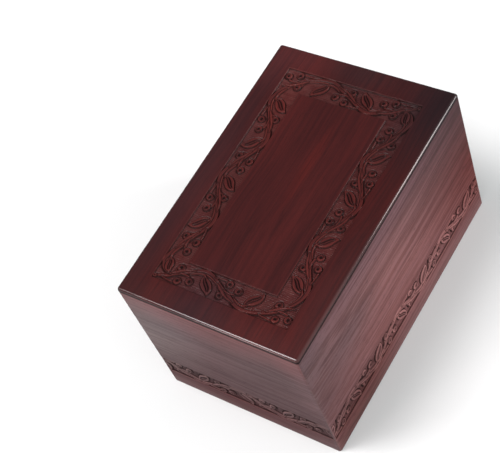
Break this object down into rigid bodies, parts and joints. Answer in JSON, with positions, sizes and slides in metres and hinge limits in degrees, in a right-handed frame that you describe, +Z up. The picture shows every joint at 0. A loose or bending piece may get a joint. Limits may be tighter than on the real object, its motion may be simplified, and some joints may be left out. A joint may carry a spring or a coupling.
{
  "type": "cremation urn box",
  "caption": "Rectangular hardwood urn box for ashes, with a lift-off top board and a carved vine scroll round its top and along its sides.",
  "frame": {"origin": "centre of the box's footprint, on its underside", "axes": "+X along the length towards right_wall, -Y out of front_wall, +Z up through the top board"},
  "size_m": [0.237, 0.152, 0.138],
  "materials": {
    "lacquered_wood": "dark red-brown hardwood under a satin to semi-gloss lacquer",
    "base_wood": "the same hardwood, sanded and sealed matt"
  },
  "bodies": {
    "root": {"top_board": "lacquered_wood", "front_wall": "lacquered_wood", "back_wall": "lacquered_wood", "left_wall": "lacquered_wood", "right_wall": "lacquered_wood", "base_panel": "base_wood"}
  },
  "joints": []
}
